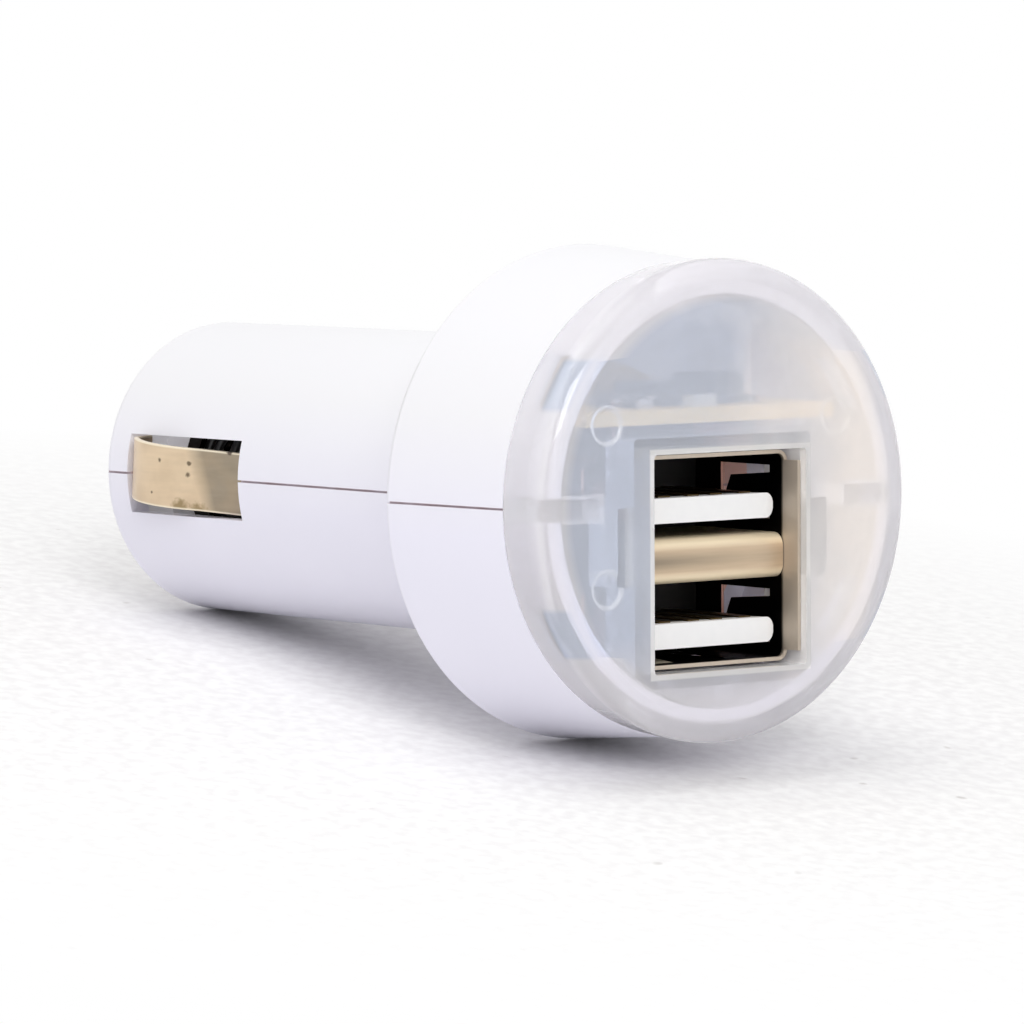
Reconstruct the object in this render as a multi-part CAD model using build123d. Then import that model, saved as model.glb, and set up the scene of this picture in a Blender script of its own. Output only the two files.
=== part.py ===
from build123d import *
import os
from math import asin, atan2, degrees, hypot, radians, sin, sqrt

# A 12 V car charger plug with two stacked USB sockets, in millimetres.
# It is drawn along its own axis: X runs from the tip to the face, Z is up, and
# x = 0 is the shoulder that stops against the car's socket.  At the end it is
# laid down on the rim of its head and the edge of its tail.

# Barrel and head of the two housing halves
body_diameter = 20.8
body_length = 41.0
rim_diameter = 33.6
seam_diameter = 31.7
head_length = 11.4
wall = 1.5
tail_edge_radius = 1.0
rim_edge_radius = 0.5
parting_groove_width = 0.14
parting_groove_depth = 0.3

# Spigot ring that carries the front cap
spigot_wall = 0.8
spigot_root = 1.2
key_slot_width = 1.6
snap_angle = 33.0
snap_window_arc = 16.0
snap_window_length = 1.9

# Front cap
cap_diameter = 32.4
cap_depth = 4.35
cap_edge_radius = 1.6
cap_face = 1.3
skirt_wall = 1.2
seam_gap = 0.05
cap_clearance = 0.12
key_reach = 4.0
snap_hook_height = 0.45
shroud_wall = 1.05
window_corner_radius = 0.3
shroud_depth = 3.0
eject_pad_diameter = 2.4
eject_pad_height = 0.25
eject_pad_angle = 28.3
eject_pad_gap = 1.24
latch_pad_reach = 1.4
latch_pad_height = 5.2
latch_pad_rise = 1.2

# Stacked USB receptacle
port_width = 12.4
port_height = 5.3
divider_height = 3.0
stack_drop = 3.88
shell_room = 0.3
shell_sheet = 0.25
shell_corner_radius = 0.8
shell_recess = 1.75
lip_length = 1.2
lip_flare = 0.12
lip_end_inset = 0.7
finger_length = 5.0
finger_width = 2.6
finger_slit = 0.5
finger_setback = 1.5
floor_finger_length = 5.0
floor_finger_width = 1.8
floor_finger_rise = 0.45
floor_finger_spacing = 6.4
board_lock_width = 1.6
divider_setback = 0.1
divider_nose_radius = 0.9
tongue_width = 11.3
tongue_thickness = 1.7
tongue_gap = 1.0
tongue_setback = 0.45
tongue_corner_radius = 0.6
tongue_edge_radius = 0.45
back_block_depth = 3.2
foot_width = 9.0
contact_width = 1.0
contact_sheet = 0.25
contact_proud = 0.1
inner_contact_pitch = 2.0
outer_contact_pitch = 7.0
contact_row_pitch = 1.2
fit_gap = 0.05
window_clearance = 0.17

# Circuit board
board_underside = 5.2
board_thickness = 1.0
board_wing_gap = 1.54
board_setback = 1.1
board_edge_gap = 0.25
board_hole_gap = 0.1
pin_stickout = 0.5
rail_depth = 0.9
rail_overlap = 0.9

# Parts on the board
chip_size = (4.9, 3.9, 1.5)
diode_size = (4.2, 2.6, 2.0)
led_size = (1.2, 2.0, 0.8)
resistor_size = (2.0, 1.25, 0.6)
ceramic_size = (3.2, 1.6, 1.3)
chip_pitch = 1.27
chip_lead_width = 0.42
chip_lead_reach = 1.0
small_part_spacing = 2.6
core_diameter = 7.8
core_height = 7.6
core_flange = 1.2
core_waist_diameter = 4.0
coil_diameter = 7.2
can_diameter = 8.0
can_shoulder_gap = 2.2
can_edge_radius = 0.6
can_groove_depth = 0.35
can_lead_diameter = 0.6
can_lead_pitch = 3.5
part_gap = 0.6

# Leaf springs at the two sides of the barrel
slot_tail_gap = 3.0
slot_length = 13.2
slot_height = 5.6
leaf_width = 4.4
leaf_sheet = 0.35
leaf_crest = 1.2
leaf_skew = 4.5
leaf_bead_radius = 0.6
leaf_bead_setback = 1.6
leaf_bead_depth = 1.6
leaf_bend_run = 4.9
leaf_bend_depth = 0.35
leaf_crest_run = 4.0
leaf_curl_run = 1.0
leaf_end_gap = 0.55
leaf_end_depth = 1.5
ground_sheet = 0.4
ground_width = 2.0

# Tip contact with its coil spring and terminal
pin_diameter = 6.0
pin_reach = 6.3
pin_nose_radius = 2.4
pin_clearance = 0.08
flange_diameter = 9.6
flange_thickness = 1.2
guide_wall = 1.0
guide_length = 2.6
seat_diameter = 3.0
seat_length = 2.6
seat_edge_radius = 0.5
coil_spring_diameter = 8.2
coil_spring_length = 10.2
coil_spring_turns = 6
coil_wire = 0.7
terminal_sheet = 0.6
terminal_diameter = 10.0
tab_width = 2.4
terminal_rib = 0.6
coil_room = 0.3

# Places worked out from the sizes above
body_radius = body_diameter / 2
rim_radius = rim_diameter / 2
seam_radius = seam_diameter / 2
bore = body_radius - wall
cap_back = head_length + seam_gap
cap_front = head_length + cap_depth
cap_inner_face = cap_front - cap_face
skirt_radius = seam_radius - skirt_wall
spigot_radius = skirt_radius - cap_clearance
spigot_bore = spigot_radius - spigot_wall
spigot_end = cap_inner_face - cap_clearance
tail_inside = wall - body_length

shell_width = port_width + 2 * shell_sheet
shell_height = 2 * port_height + divider_height + 2 * shell_sheet
stack_z = -stack_drop
shell_top = stack_z + shell_height / 2
shell_bottom = stack_z - shell_height / 2
shell_front = cap_front - shell_recess
shell_back = wall + board_edge_gap
block_front = shell_back + back_block_depth
tongue_front = shell_front - tongue_setback
divider_front = shell_front - divider_setback
port_floors = (stack_z + divider_height / 2, stack_z - divider_height / 2 - port_height)
tongue_tops = tuple(z + tongue_gap + tongue_thickness for z in port_floors)
contact_rows = (shell_back + 2 * contact_row_pitch, shell_back + contact_row_pitch)
contact_places = tuple(
    side * pitch / 2 for pitch in (inner_contact_pitch, outer_contact_pitch) for side in (-1, 1))
shroud_back = cap_inner_face - shroud_depth
window_width = shell_width + 2 * window_clearance
window_height = shell_height + 2 * window_clearance

board_top = board_underside + board_thickness
board_front = spigot_end - board_setback
board_neck = wall + board_edge_gap
board_head_width = 2 * (sqrt(spigot_bore**2 - board_top**2) - board_wing_gap)
board_tail_width = 2 * (sqrt(bore**2 - board_top**2) - board_edge_gap)
lock_y = (shell_width - shell_sheet) / 2
lock_places = (shell_back + board_lock_width, shroud_back - board_lock_width)

slot_rear = slot_tail_gap - body_length
slot_front = slot_rear + slot_length
bead_x = slot_front + leaf_bead_setback
bead_y = bore - leaf_bead_depth
leaf_pivot_x = (slot_front + slot_rear) / 2
ground_y = bead_y - leaf_bead_radius - fit_gap - ground_sheet / 2
ground_hole_y = board_tail_width / 2 - 2 * ground_sheet
ground_back = bead_x - ground_width / 2
ground_front = bead_x + ground_width / 2

flange_back = tail_inside + fit_gap
flange_front = flange_back + flange_thickness
terminal_back = flange_front + coil_spring_length
terminal_front = terminal_back + terminal_sheet
board_rear = (terminal_front + ground_back) / 2
inductor_x = ground_front + part_gap + core_diameter / 2
can_back = inductor_x + core_diameter / 2 + part_gap
can_front = -can_shoulder_gap
can_z = board_underside - fit_gap - can_diameter / 2


def block(x_range, y_range, z_range):
    """Block between two values along each axis."""
    ranges = (x_range, y_range, z_range)
    return Pos(*(sum(r) / 2 for r in ranges)) * Box(*(r[1] - r[0] for r in ranges))


def turned(corners, rounds=()):
    """Solid turned about the plug's axis from (x, radius) corners, some of them rounded."""
    face = make_face(Polyline(*corners, close=True))
    for corner, radius in rounds:
        face = fillet(face.vertices().sort_by_distance(corner)[0], radius)
    return revolve(face, Axis.X)


def ring(x_range, inner_radius, outer_radius):
    """Plain ring about the plug's axis."""
    back, front = x_range
    return turned([(back, inner_radius), (back, outer_radius),
                   (front, outer_radius), (front, inner_radius)])


def across(x, size_y, size_z, centre_z, corner_radius):
    """Rectangle square to the axis at x, with rounded corners."""
    outline = RectangleRounded(size_y, size_z, corner_radius)
    return Plane.YZ.offset(x) * Pos(0, centre_z) * outline


def around_axis(angle, piece):
    """Piece turned about the plug's axis, from its place on the +Y side."""
    return Rot(angle, 0, 0) * piece


snap_angles = (snap_angle, 180 - snap_angle, 180 + snap_angle, -snap_angle)
reach = body_length + cap_front + pin_reach
upper_half = block((-reach, reach), (-reach, reach), (0, reach))
lower_half = block((-reach, reach), (-reach, reach), (-reach, 0))


def housing_form(inset=0.0):
    """Barrel and head, with the skin moved in by an inset."""
    tail = inset - body_length
    corners = [(tail, 0), (tail, body_radius - inset), (inset, body_radius - inset),
               (inset, rim_radius - inset), (head_length, seam_radius - inset), (head_length, 0)]
    rounds = []
    if not inset:
        rounds = [(corners[1], tail_edge_radius), (corners[3], rim_edge_radius)]
    return turned(corners, rounds)


def spigot_ring():
    """Ring in front of the seam, with key slots on the parting plane, snap windows and shell room."""
    ring_range = (head_length - spigot_root, spigot_end)
    room_y = shell_width / 2 + shell_room
    result = ring(ring_range, spigot_bore, spigot_radius)
    result -= block(ring_range, (-room_y, room_y), (shell_bottom - shell_room, shell_top + shell_room))
    slot_range = (head_length, spigot_end + fit_gap)
    half_slot = key_slot_width / 2
    result -= block(slot_range, (-rim_radius, rim_radius), (-half_slot, half_slot))
    window_arc = 2 * spigot_radius * sin(radians(snap_window_arc / 2))
    window_middle = (head_length + spigot_end) / 2
    window_x = (window_middle - snap_window_length / 2, window_middle + snap_window_length / 2)
    window = block(window_x, (spigot_bore - spigot_wall, rim_radius),
                   (-window_arc / 2, window_arc / 2))
    for angle in snap_angles:
        result -= around_axis(angle, window)
    return result


def housing_blank():
    """Both halves in one: wall, spigot ring, spring slots, tip hole and parting groove."""
    outside = housing_form()
    result = outside - housing_form(wall) + spigot_ring()
    half_groove = parting_groove_width / 2
    groove_slab = block((-reach, reach), (-reach, reach), (-half_groove, half_groove))
    result -= (outside - housing_form(parting_groove_depth)) & groove_slab
    result -= block((slot_rear, slot_front), (-rim_radius, rim_radius),
                    (-slot_height / 2, slot_height / 2))
    hole_radius = pin_diameter / 2 + pin_clearance
    return result - ring((-body_length - wall, tail_inside + wall), 0, hole_radius)


def guide_and_terminal_ribs():
    """Guide collar of the tip's flange, and the two ribs that hold its terminal."""
    collar_range = (tail_inside - wall / 2, tail_inside + guide_length)
    guide_bore = flange_diameter / 2 + coil_room
    ribs = ring(collar_range, guide_bore, guide_bore + guide_wall)
    room_z = slot_height / 2 + coil_room
    spring_room = block((-reach, 0), (-rim_radius, rim_radius), (-room_z, room_z))
    back_face = terminal_back - fit_gap
    front_face = terminal_front + fit_gap
    for faces in ((back_face - terminal_rib, back_face), (front_face, front_face + terminal_rib)):
        ribs += ring(faces, coil_spring_diameter / 2 + coil_room, bore + wall / 2) - spring_room
    tab_notch = (-tab_width / 2 - fit_gap, tab_width / 2 + fit_gap)
    notch_floor = board_underside - 2 * terminal_sheet
    notch_x = (terminal_front, terminal_front + 2 * terminal_rib)
    return ribs - block(notch_x, tab_notch, (notch_floor, board_top))


def upper_ribs():
    """Rails and ledges under the board, and the ribs that press on its wings."""
    rail_range = (board_underside - fit_gap - rail_depth, board_underside - fit_gap)
    rail_inner = board_tail_width / 2 - rail_overlap
    ledge_inner = board_head_width / 2 - rail_overlap
    press_y = (board_head_width / 2 + lock_y) / 2
    ribs = block((ground_front + part_gap, wall), (rail_inner, rim_radius), rail_range)
    ribs += block((wall / 2, board_front / 2), (ledge_inner, rim_radius), rail_range)
    ribs += block((wall / 2, board_front / 2), (press_y - wall / 2, press_y + wall / 2),
                  (board_top + fit_gap, rim_radius))
    return (ribs + mirror(ribs, Plane.XZ)) & housing_form(wall / 2)


def lower_ribs():
    """Cradle under the receptacle."""
    rib_y = port_width / 4
    rib = block((wall / 2, shroud_back - part_gap), (rib_y - wall / 2, rib_y + wall / 2),
                (-rim_radius, shell_bottom - fit_gap))
    return (rib + mirror(rib, Plane.XZ)) & housing_form(wall / 2)


def front_cap():
    """Clear cap: skirt over the spigot, rounded edge, flat face, and what is moulded behind it."""
    edge = (cap_front, cap_diameter / 2)
    cap = turned([(cap_back, 0), (cap_back, seam_radius), edge, (cap_front, 0)],
                 [(edge, cap_edge_radius)])
    cap -= ring((cap_back, cap_inner_face), 0, skirt_radius)
    outline = across(shroud_back, window_width + 2 * shroud_wall, window_height + 2 * shroud_wall,
                     stack_z, window_corner_radius)
    shroud = extrude(outline, cap_inner_face - shroud_back)
    half_latch = latch_pad_height / 2
    latch_z = stack_z + latch_pad_rise
    latch_y = window_width / 2 + shroud_wall + latch_pad_reach
    shroud += block((shroud_back, cap_inner_face), (-latch_y, latch_y),
                    (latch_z - half_latch, latch_z + half_latch))
    cap += shroud & ring((shroud_back, cap_inner_face), 0, spigot_bore - cap_clearance)
    cap -= extrude(across(shroud_back, window_width, window_height, stack_z, window_corner_radius),
                   cap_front - shroud_back)
    half_key = key_slot_width / 2 - cap_clearance
    for side in (0, 180):
        key = block((cap_back + cap_clearance, cap_inner_face),
                    (skirt_radius - key_reach, skirt_radius + skirt_wall / 2), (-half_key, half_key))
        cap += around_axis(side, key)
    window_arc = 2 * spigot_radius * sin(radians(snap_window_arc / 2))
    half_hook = window_arc / 2 - 2 * cap_clearance
    hook_middle = (head_length + spigot_end) / 2
    hook_length = snap_window_length / 2 - 2 * cap_clearance
    hook = block((hook_middle - hook_length, hook_middle + hook_length),
                 (skirt_radius - snap_hook_height, skirt_radius + skirt_wall / 2), (-half_hook, half_hook))
    for angle in snap_angles:
        cap += around_axis(angle, hook)
    pad = Rot(0, 90, 0) * Cylinder(eject_pad_diameter / 2, 2 * eject_pad_height)
    pad_place = spigot_bore - eject_pad_gap - eject_pad_diameter / 2
    for angle in (eject_pad_angle, 180 - eject_pad_angle, 180 + eject_pad_angle, -eject_pad_angle):
        cap += around_axis(angle, Pos(cap_inner_face, pad_place, 0) * pad)
    return cap


def usb_shell():
    """Stamped shell: rounded tube, flared side lips, spring fingers and board locks."""
    depth = shell_front - shell_back
    shell = extrude(across(shell_back, shell_width, shell_height, stack_z, shell_corner_radius), depth)
    shell -= extrude(across(shell_back, port_width, shell_height - 2 * shell_sheet, stack_z,
                            shell_corner_radius - shell_sheet), depth)
    inner_y = port_width / 2
    lip_face = make_face(Polyline(
        (shell_front, inner_y), (shell_front + lip_length, inner_y + lip_flare),
        (shell_front + lip_length, inner_y + lip_flare + shell_sheet), (shell_front, inner_y + shell_sheet),
        close=True))
    lip_height = shell_height - 2 * lip_end_inset
    lip = Pos(0, 0, stack_z - lip_height / 2) * extrude(lip_face, lip_height)
    slit_front = shell_front - finger_setback
    slit_back = slit_front - finger_length
    for side in (-1, 1):
        wall_y = tuple(sorted((side * (inner_y - shell_sheet), side * (inner_y + 2 * shell_sheet))))
        for floor in port_floors:
            middle = floor + port_height / 2
            outer = finger_width / 2 + finger_slit
            slot = block((slit_back, slit_front), wall_y, (middle - outer, middle + outer))
            slot -= block((slit_back + finger_slit, slit_front), wall_y,
                          (middle - finger_width / 2, middle + finger_width / 2))
            shell -= slot
        lock_y_range = tuple(sorted((side * inner_y, side * shell_width / 2)))
        for x in lock_places:
            shell += block((x - board_lock_width / 2, x + board_lock_width / 2), lock_y_range,
                           (shell_top - shell_corner_radius, board_top + pin_stickout))
    shell += lip + mirror(lip, Plane.XZ)
    finger_front = shell_front - finger_setback
    finger_back = finger_front - floor_finger_length
    bent = make_face(Polyline(
        (finger_front, 0), (finger_back, floor_finger_rise), (finger_back, floor_finger_rise + shell_sheet),
        (finger_front, shell_sheet), close=True))
    finger = extrude(Plane.XZ * bent, floor_finger_width / 2, both=True)
    opening = block((finger_back - finger_slit, finger_front), (-floor_finger_width / 2 - finger_slit / 2,
                    floor_finger_width / 2 + finger_slit / 2), (-shell_sheet, 2 * shell_sheet))
    for y in (-floor_finger_spacing / 2, floor_finger_spacing / 2):
        low = Pos(0, y, shell_bottom)
        high = Pos(0, y, 2 * stack_z - shell_bottom) * Rot(180, 0, 0)
        for place in (low, high):
            shell = shell - place * opening + place * finger
    foot_room = foot_width / 2 + fit_gap
    return shell - block((shell_back, block_front + fit_gap), (-foot_room, foot_room),
                         (shell_top - shell_sheet, shell_top))


def usb_divider():
    """Folded strip between the two sockets, open at the back, with a rounded nose."""
    half = divider_height / 2
    corners = [(block_front, -half), (divider_front, -half), (divider_front, half), (block_front, half)]
    outer = make_face(Polyline(*corners, close=True))
    outer = fillet(outer.vertices().sort_by(Axis.X)[-2:], divider_nose_radius)
    hollow = make_face(Polyline(
        (block_front, shell_sheet - half), (divider_front - shell_sheet, shell_sheet - half),
        (divider_front - shell_sheet, half - shell_sheet), (block_front, half - shell_sheet), close=True))
    hollow = fillet(hollow.vertices().sort_by(Axis.X)[-2:], divider_nose_radius - shell_sheet)
    strip = extrude(Plane.XZ * (outer - hollow), port_width / 2 - fit_gap, both=True)
    return Pos(0, 0, stack_z) * strip


def port_contacts(port):
    """Four flat contacts of one socket, each bent up into a pin for the board."""
    top = tongue_tops[port]
    row = contact_rows[port]
    underside = top + contact_proud - contact_sheet
    pins = []
    for y in contact_places:
        sides = (y - contact_width / 2, y + contact_width / 2)
        blade = block((row, tongue_front - contact_width / 2), sides, (underside, underside + contact_sheet))
        blade += block((row, row + contact_sheet), sides, (underside, board_top + pin_stickout))
        pins.append(blade)
    return pins


def usb_insulator(contacts):
    """Moulded block at the back of the shell, with two tongues and a foot against the board."""
    half_width = port_width / 2 - fit_gap
    bottom = shell_bottom + shell_sheet + fit_gap
    top = shell_top - shell_sheet - fit_gap
    outline = across(shell_back, 2 * half_width, top - bottom, stack_z, shell_corner_radius)
    body = extrude(outline, back_block_depth)
    body += block((shell_back, block_front), (-foot_width / 2, foot_width / 2), (stack_z, board_underside))
    root = shell_back + back_block_depth / 2
    half_tongue = tongue_width / 2
    for z in tongue_tops:
        outline = make_face(Polyline((root, -half_tongue), (tongue_front, -half_tongue),
                                     (tongue_front, half_tongue), (root, half_tongue), close=True))
        outline = fillet(outline.vertices().sort_by(Axis.X)[-2:], tongue_corner_radius)
        plan = Pos(0, 0, z - tongue_thickness) * extrude(outline, tongue_thickness)
        front = across(root, tongue_width, tongue_thickness, z - tongue_thickness / 2, tongue_edge_radius)
        body += plan & extrude(front, tongue_front - root)
    for contact in contacts:
        body -= contact
    return body


def circuit_board(through_parts):
    """Board with a wide head and a narrow tail, drilled for everything that passes through it."""
    head = block((board_neck, board_front), (-board_head_width / 2, board_head_width / 2),
                 (board_underside, board_top))
    tail = block((board_rear, board_neck), (-board_tail_width / 2, board_tail_width / 2),
                 (board_underside, board_top))
    board = head + tail
    for x_range, y_range in through_parts:
        board -= block((x_range[0] - board_hole_gap, x_range[1] + board_hole_gap),
                       (y_range[0] - board_hole_gap, y_range[1] + board_hole_gap), (0, rim_radius))
    return board


def on_board(size, x, y):
    """Plain part of a given size that sits on top of the board."""
    return Pos(x, y, board_top + size[2] / 2) * Box(*size)


def converter_chip(x, y):
    """Eight-lead converter chip, with its leads bent down to the board."""
    chip = on_board(chip_size, x, y)
    lead_z = (board_top, board_top + chip_size[2] / 2)
    lead_y = chip_size[1] / 2
    for side in (-1, 1):
        for place in (-1.5, -0.5, 0.5, 1.5):
            lead_x = x + place * chip_pitch
            edges = sorted((y + side * lead_y, y + side * (lead_y + chip_lead_reach)))
            lead = block((lead_x - chip_lead_width / 2, lead_x + chip_lead_width / 2), edges, lead_z)
            under = sorted((y + side * lead_y, y + side * (lead_y + chip_lead_reach - contact_sheet)))
            lead -= block((lead_x - chip_lead_width, lead_x + chip_lead_width), under,
                          (board_top, lead_z[1] - contact_sheet))
            chip += lead
    return chip


def inductor_core():
    """Ferrite drum that hangs under the board: two flanges and a waist."""
    half = core_height / 2
    drum = make_face(Polyline(
        (0, -half), (core_diameter / 2, -half), (core_diameter / 2, core_flange - half),
        (core_waist_diameter / 2, core_flange - half), (core_waist_diameter / 2, half - core_flange),
        (core_diameter / 2, half - core_flange), (core_diameter / 2, half), (0, half), close=True))
    return Pos(inductor_x, 0, board_underside - half) * revolve(Plane.XZ * drum, Axis.Z)


def inductor_coil():
    """Winding between the drum's flanges."""
    height = core_height - 2 * core_flange
    winding = Cylinder(coil_diameter / 2, height) - Cylinder(core_waist_diameter / 2, height)
    return Pos(inductor_x, 0, board_underside - core_height / 2) * winding


def input_capacitor():
    """Can that lies under the board, with a crimped neck and two leads bent up."""
    radius = can_diameter / 2
    neck = can_front - 2 * can_edge_radius
    can = turned([(can_back, 0), (can_back, radius), (neck - can_edge_radius, radius),
                  (neck, radius - can_groove_depth), (neck + can_edge_radius, radius),
                  (can_front, radius), (can_front, 0)],
                 [((can_back, radius), can_edge_radius), ((can_front, radius), can_edge_radius / 2)])
    for y in (-can_lead_pitch / 2, can_lead_pitch / 2):
        route = FilletPolyline((can_front - can_edge_radius, y, 0), (can_front + part_gap, y, 0),
                               (can_front + part_gap, y, board_top + pin_stickout - can_z),
                               radius=can_lead_diameter)
        can += sweep(Plane(origin=route @ 0, z_dir=route % 0) * Circle(can_lead_diameter / 2), route)
    return Pos(0, 0, can_z) * can


def leaf_spring():
    """Bowed strip of one side: rolled bead, ramp, bow through the slot, and a curled-in end."""
    bead = (bead_x, -bead_y)
    bend = (slot_front - leaf_bend_run, leaf_bend_depth - body_radius)
    crest = (slot_rear + leaf_crest_run, leaf_sheet / 2 - body_radius - leaf_crest)
    curl = (slot_rear + leaf_curl_run, -body_radius)
    end = (slot_rear + leaf_end_gap, leaf_end_depth - body_radius)
    line = Line(bead, bend) + ThreePointArc(bend, crest, curl) + Line(curl, end)
    strip = make_face(offset(line, leaf_sheet / 2, kind=Kind.ARC, side=Side.BOTH))
    outline = strip + Pos(*bead) * Circle(leaf_bead_radius)
    leaf = extrude(outline, leaf_width / 2, both=True)
    return Pos(leaf_pivot_x, 0, 0) * Rot(0, leaf_skew, 0) * Pos(-leaf_pivot_x, 0, 0) * leaf


def ground_terminal():
    """Strip from the board down to the bead of one leaf spring."""
    step_top = board_underside - 2 * ground_sheet
    step_bottom = step_top - (ground_y - ground_hole_y)
    path = FilletPolyline((-ground_hole_y, board_top + pin_stickout), (-ground_hole_y, step_top),
                          (-ground_y, step_bottom), (-ground_y, -leaf_width / 2), radius=ground_sheet)
    strip = make_face(offset(path, ground_sheet / 2, kind=Kind.ARC, side=Side.BOTH))
    return Pos(ground_back, 0, 0) * extrude(Plane.YZ * strip, ground_width)


def centre_pin():
    """Turned tip contact: rounded nose, stem, flange behind the tail wall, and spring seat."""
    nose = (-body_length - pin_reach, pin_diameter / 2)
    seat_front = flange_front + seat_length
    return turned([(nose[0], 0), nose, (flange_back, pin_diameter / 2), (flange_back, flange_diameter / 2),
                   (flange_front, flange_diameter / 2), (flange_front, seat_diameter / 2),
                   (seat_front, seat_diameter / 2), (seat_front, 0)],
                  [(nose, pin_nose_radius), ((seat_front, seat_diameter / 2), seat_edge_radius)])


def pin_spring():
    """Compression spring between the flange and the terminal."""
    start = flange_front + fit_gap + coil_wire / 2
    height = coil_spring_length - 2 * fit_gap - coil_wire
    route = Helix(height / coil_spring_turns, height, (coil_spring_diameter - coil_wire) / 2,
                  center=(start, 0, 0), direction=(1, 0, 0))
    return sweep(Plane(origin=route @ 0, z_dir=route % 0) * Circle(coil_wire / 2), route, is_frenet=True)


def pin_terminal():
    """Disc behind the coil spring, with a tab bent forward under the board."""
    disc = ring((terminal_back, terminal_front), 0, terminal_diameter / 2)
    tab_top = board_underside - fit_gap
    tab_z = (tab_top - terminal_sheet, tab_top)
    half_tab = tab_width / 2
    disc += block((terminal_back, terminal_front), (-half_tab, half_tab), (0, tab_top))
    return disc + block((terminal_back, ground_back), (-half_tab, half_tab), tab_z)


def group(solids):
    """Separate solids kept together as one piece."""
    result = solids[0]
    for solid in solids[1:]:
        result += solid
    return result


def place_range(middle, size):
    """Range of a given size about a middle."""
    return (middle - size / 2, middle + size / 2)


blank = housing_blank()
inner_ribs = guide_and_terminal_ribs()
upper_pins = port_contacts(0)
lower_pins = port_contacts(1)

through_parts = [(place_range(x, board_lock_width), place_range(side * lock_y, shell_sheet))
                 for x in lock_places for side in (-1, 1)]
through_parts += [((row, row + contact_sheet), place_range(y, contact_width))
                  for row in contact_rows for y in contact_places]
through_parts += [((ground_back, ground_front), place_range(side * ground_hole_y, ground_sheet))
                  for side in (-1, 1)]
through_parts += [(place_range(can_front + part_gap, can_lead_diameter),
                   place_range(side * can_lead_pitch / 2, can_lead_diameter)) for side in (-1, 1)]

chip_x = block_front + part_gap + chip_size[0] / 2
row_y = chip_size[1] / 2 + chip_lead_reach + small_part_spacing / 2
resistor_places = [(chip_x + step * small_part_spacing, -row_y) for step in (-1, 0, 1)]
ceramic_places = [(inductor_x + step * 2 * small_part_spacing, 0) for step in (0, 1, 2)]
leaf = leaf_spring()
ground = ground_terminal()

pieces = {
    "upper_housing": (blank + inner_ribs + upper_ribs()) & upper_half,
    "lower_housing": (blank + inner_ribs + lower_ribs()) & lower_half,
    "front_cap": front_cap(),
    "usb_shell": usb_shell(),
    "usb_divider": usb_divider(),
    "usb_insulator": usb_insulator(upper_pins + lower_pins),
    "upper_port_contacts": group(upper_pins),
    "lower_port_contacts": group(lower_pins),
    "circuit_board": circuit_board(through_parts),
    "converter_chip": converter_chip(chip_x, 0),
    "schottky_diode": on_board(diode_size, chip_x, row_y),
    "indicator_led": on_board(led_size, board_front - led_size[0], 0),
    "chip_resistors": group([on_board(resistor_size, x, y) for x, y in resistor_places]),
    "ceramic_capacitors": group([on_board(ceramic_size, x, y) for x, y in ceramic_places]),
    "inductor_core": inductor_core(),
    "inductor_coil": inductor_coil(),
    "input_capacitor": input_capacitor(),
    "left_ground_spring": leaf,
    "right_ground_spring": mirror(leaf, Plane.XZ),
    "left_ground_terminal": ground,
    "right_ground_terminal": mirror(ground, Plane.XZ),
    "centre_pin": centre_pin(),
    "pin_spring": pin_spring(),
    "pin_terminal": pin_terminal(),
}

# The plug lies on two rounded edges, so it leans by their common tangent.
rise = (rim_radius - rim_edge_radius) - (body_radius - tail_edge_radius)
run = rim_edge_radius + body_length - tail_edge_radius
lean = atan2(rise, run) + asin((rim_edge_radius - tail_edge_radius) / hypot(rise, run))
leaning = Rot(0, -degrees(lean), 0)
boxes = [(leaning * piece).bounding_box() for piece in pieces.values()]
middle_x = (min(box.min.X for box in boxes) + max(box.max.X for box in boxes)) / 2
floor_z = min(box.min.Z for box in boxes)
rest = Pos(-middle_x, 0, -floor_z) * leaning

os.makedirs("parts", exist_ok=True)
for name, piece in pieces.items():
    export_step(rest * piece, f"parts/{name}.step")
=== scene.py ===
import math

import bmesh
import bpy
from mathutils import Matrix, Vector


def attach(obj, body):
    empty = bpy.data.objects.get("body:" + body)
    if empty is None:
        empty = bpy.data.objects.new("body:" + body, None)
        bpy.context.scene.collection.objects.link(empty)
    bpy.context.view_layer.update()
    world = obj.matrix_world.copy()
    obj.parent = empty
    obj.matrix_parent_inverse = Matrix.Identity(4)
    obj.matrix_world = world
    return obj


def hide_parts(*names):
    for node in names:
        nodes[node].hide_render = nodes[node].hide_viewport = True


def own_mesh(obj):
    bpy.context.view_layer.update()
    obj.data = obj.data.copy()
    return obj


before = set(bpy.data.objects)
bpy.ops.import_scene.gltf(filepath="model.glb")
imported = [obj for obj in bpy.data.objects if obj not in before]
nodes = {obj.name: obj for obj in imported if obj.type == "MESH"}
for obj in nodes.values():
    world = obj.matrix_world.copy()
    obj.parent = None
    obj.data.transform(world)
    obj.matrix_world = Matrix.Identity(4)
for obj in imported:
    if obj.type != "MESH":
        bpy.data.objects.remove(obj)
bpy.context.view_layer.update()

# Clamshell housing: two white ABS mouldings with a polished skin, split along the plug's own
# middle plane and welded.  The groove along the split gathers a little dirt.  The lower sides are
# painted lavender as shade and the top whiter; inside, the wall is painted pale as light in the tail,
# grey as shade in the head, and cream and reddish as warm light on the head's far side, and the mouth
# of the tip's guide inside the tail is painted black as shade.
lean = math.radians(8.97134)
rest_shift = Vector((14.50589, 0.0, 16.52262))
bore, ring_bore, wall, tail_inside = 8.9, 13.73, 1.5, -39.5
guide_mouth, guide_radius, shaded_length = -36.9, 6.1, 6.0
groove_half, groove_edge, skin_depth = 0.06, 0.10, 0.03
shade_foot, shade_head, split_fade, most_passed = -2.0, 6.0, 0.5, 0.75
tail_light_end, head_shade_start = -22.0, -12.0
far_start, far_end, deep_end, shallow_start = 8.5, 9.5, 5.0, 7.0
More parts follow.
